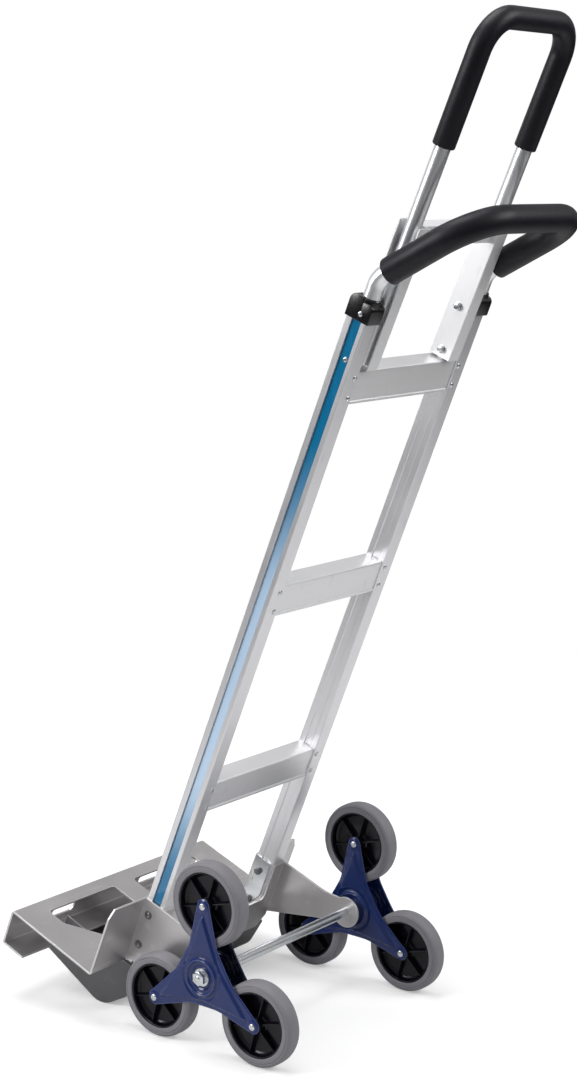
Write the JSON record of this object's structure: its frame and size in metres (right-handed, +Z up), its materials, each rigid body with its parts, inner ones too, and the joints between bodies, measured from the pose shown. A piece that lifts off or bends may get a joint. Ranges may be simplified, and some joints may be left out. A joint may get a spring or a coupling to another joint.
{
  "type": "stair-climbing hand truck",
  "caption": "Leaned ladder-frame hand truck with a folded load plate, loop and tall handles, and a turning three-wheeled star on each end of its axle.",
  "frame": {"origin": "on the ground, below the middle of the box round the whole truck", "axes": "+Z up, +X towards the user's left, +Y towards the user behind the truck, so the load plate points to -Y"},
  "size_m": [0.45, 0.7828, 1.4582],
  "materials": {
    "rail_aluminium": "satin anodised extrusion",
    "rung_aluminium": "satin anodised extrusion",
    "tube_aluminium": "brushed drawn tube",
    "channel_aluminium": "satin anodised extrusion",
    "blue_film": "glossy coloured strip",
    "black_plastic": "moulded, fine grain",
    "black_foam": "closed-cell foam sleeve",
    "grey_paint": "metallic grey powder coat",
    "zinc_steel": "bright zinc plate",
    "blue_paint": "gloss powder coat",
    "dark_blue_paint": "gloss powder coat",
    "grey_tyre": "moulded grey rubber",
    "rim_plastic": "moulded, ribbed"
  },
  "bodies": {
    "frame": {"left_rail": "rail_aluminium", "right_rail": "rail_aluminium", "bottom_rung": "rung_aluminium", "middle_rung": "rung_aluminium", "top_rung": "rung_aluminium", "loop_handle_tube": "tube_aluminium", "tall_handle_tube": "tube_aluminium", "left_extension_channel": "channel_aluminium", "right_extension_channel": "channel_aluminium", "extension_crossbar": "channel_aluminium", "left_rail_stripe": "blue_film", "right_rail_stripe": "blue_film", "left_top_cap": "black_plastic", "right_top_cap": "black_plastic", "loop_handle_grip": "black_foam", "tall_handle_grip": "black_foam", "toe_plate": "grey_paint", "heel_skid": "grey_paint", "back_plate": "grey_paint", "left_axle_bracket": "grey_paint", "right_axle_bracket": "grey_paint", "left_inner_gusset": "zinc_steel", "right_inner_gusset": "zinc_steel", "bracket_bolts": "zinc_steel", "extension_bolts": "zinc_steel", "rung_rivets": "zinc_steel", "axle": "zinc_steel", "axle_spacers": "zinc_steel", "axle_washers": "zinc_steel", "axle_nuts": "zinc_steel"},
    "left_star": {"left_star_outer_plate": "blue_paint", "left_star_inner_plate": "dark_blue_paint", "left_star_sleeve": "zinc_steel", "left_wheel_pins": "zinc_steel"},
    "left_top_wheel": {"left_top_tyre": "grey_tyre", "left_top_rim": "rim_plastic"},
    "left_front_wheel": {"left_front_tyre": "grey_tyre", "left_front_rim": "rim_plastic"},
    "left_rear_wheel": {"left_rear_tyre": "grey_tyre", "left_rear_rim": "rim_plastic"},
    "right_star": {"right_star_outer_plate": "blue_paint", "right_star_inner_plate": "dark_blue_paint", "right_star_sleeve": "zinc_steel", "right_wheel_pins": "zinc_steel"},
    "right_top_wheel": {"right_top_tyre": "grey_tyre", "right_top_rim": "rim_plastic"},
    "right_front_wheel": {"right_front_tyre": "grey_tyre", "right_front_rim": "rim_plastic"},
    "right_rear_wheel": {"right_rear_tyre": "grey_tyre", "right_rear_rim": "rim_plastic"}
  },
  "joints": [
    {"name": "left_star_turn", "type": "hinge", "parent": "frame", "child": "left_star", "pos_m": [0.18475, -0.01656, 0.1145], "axis": [1, 0, 0], "continuous": true},
    {"name": "left_top_wheel_spin", "type": "hinge", "parent": "left_star", "child": "left_top_wheel", "pos_m": [0.18475, -0.01656, 0.219], "axis": [1, 0, 0], "continuous": true},
    {"name": "left_front_wheel_spin", "type": "hinge", "parent": "left_star", "child": "left_front_wheel", "pos_m": [0.18475, -0.10706, 0.06225], "axis": [1, 0, 0], "continuous": true},
    {"name": "left_rear_wheel_spin", "type": "hinge", "parent": "left_star", "child": "left_rear_wheel", "pos_m": [0.18475, 0.07394, 0.06225], "axis": [1, 0, 0], "continuous": true},
    {"name": "right_star_turn", "type": "hinge", "parent": "frame", "child": "right_star", "pos_m": [-0.18475, -0.01656, 0.1145], "axis": [1, 0, 0], "continuous": true},
    {"name": "right_top_wheel_spin", "type": "hinge", "parent": "right_star", "child": "right_top_wheel", "pos_m": [-0.18475, -0.01656, 0.219], "axis": [1, 0, 0], "continuous": true},
    {"name": "right_front_wheel_spin", "type": "hinge", "parent": "right_star", "child": "right_front_wheel", "pos_m": [-0.18475, -0.10706, 0.06225], "axis": [1, 0, 0], "continuous": true},
    {"name": "right_rear_wheel_spin", "type": "hinge", "parent": "right_star", "child": "right_rear_wheel", "pos_m": [-0.18475, 0.07394, 0.06225], "axis": [1, 0, 0], "continuous": true}
  ]
}
